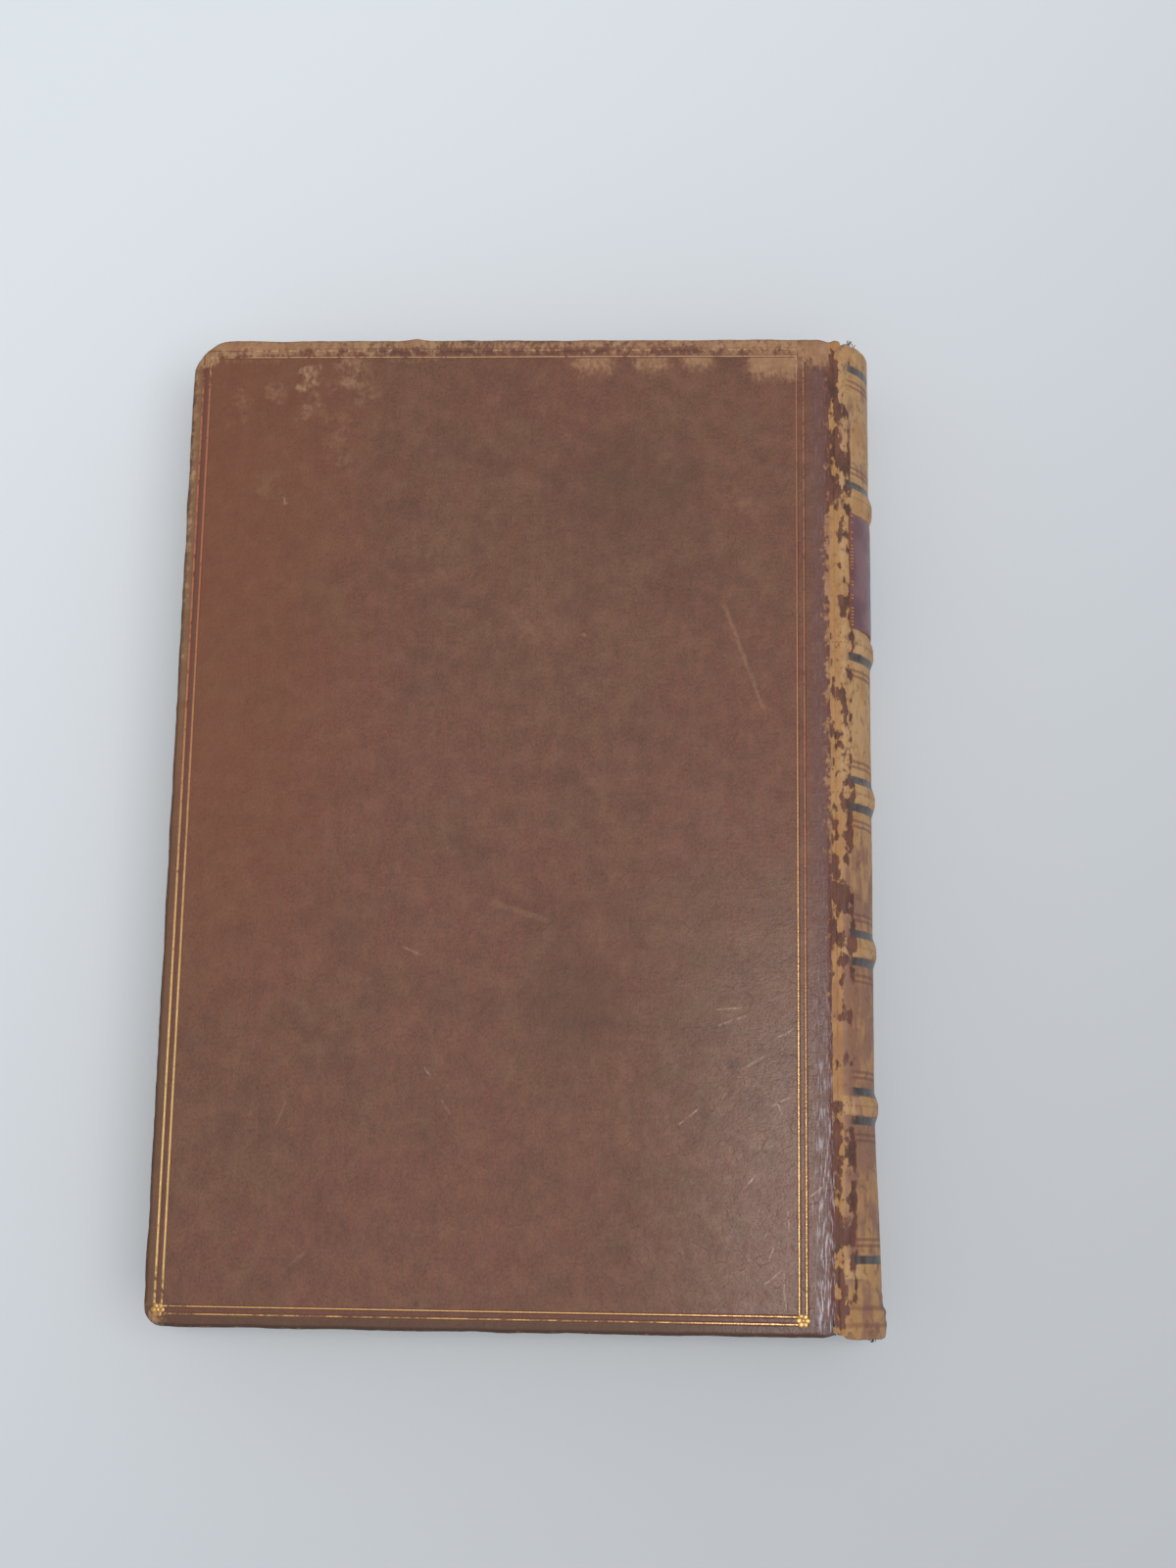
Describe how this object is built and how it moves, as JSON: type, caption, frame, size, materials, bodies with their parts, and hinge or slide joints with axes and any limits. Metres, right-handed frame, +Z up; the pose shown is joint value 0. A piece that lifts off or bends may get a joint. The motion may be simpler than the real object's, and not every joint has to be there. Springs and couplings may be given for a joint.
{
  "type": "antique leather book",
  "caption": "Closed full-leather book with rounded spine, raised bands, title label and gilt-ruled covers that hinge open along the joints.",
  "frame": {"origin": "centre of the footprint, on the surface that the front cover lies on", "axes": "+X from the fore edge towards the spine, +Y from tail to head, +Z up through the thickness, rear cover on top"},
  "size_m": [0.1597, 0.226, 0.029],
  "materials": {
    "calf": "worn polished calf with gilt rules",
    "label_leather": "thin maroon label leather, rubbed",
    "leaves": "aged paper edges",
    "endpaper": "aged laid paper",
    "millboard": "grey-brown pressed board",
    "lining": "open cloth and paper lining",
    "cord": "hemp cord",
    "headband_silk": "silk thread wound in two colours, faded"
  },
  "bodies": {
    "book_block": {"text_block": "leaves", "spine_lining": "lining", "spine_leather": "calf", "title_label": "label_leather", "headband_head": "headband_silk", "headband_tail": "headband_silk", "band_cord_1": "cord", "band_cord_2": "cord", "band_cord_3": "cord", "band_cord_4": "cord", "band_cord_5": "cord"},
    "rear_cover": {"rear_leather": "calf", "rear_board": "millboard", "rear_filler": "millboard", "rear_pastedown": "endpaper"},
    "front_cover": {"front_leather": "calf", "front_board": "millboard", "front_filler": "millboard", "front_pastedown": "endpaper"}
  },
  "joints": [
    {"name": "rear_cover_hinge", "type": "hinge", "parent": "book_block", "child": "rear_cover", "pos_m": [0.06915, 0, 0.029], "axis": [0, 1, 0], "range_deg": [0, 170]},
    {"name": "front_cover_hinge", "type": "hinge", "parent": "book_block", "child": "front_cover", "pos_m": [0.06915, 0, 0], "axis": [0, -1, 0], "range_deg": [0, 170]}
  ]
}
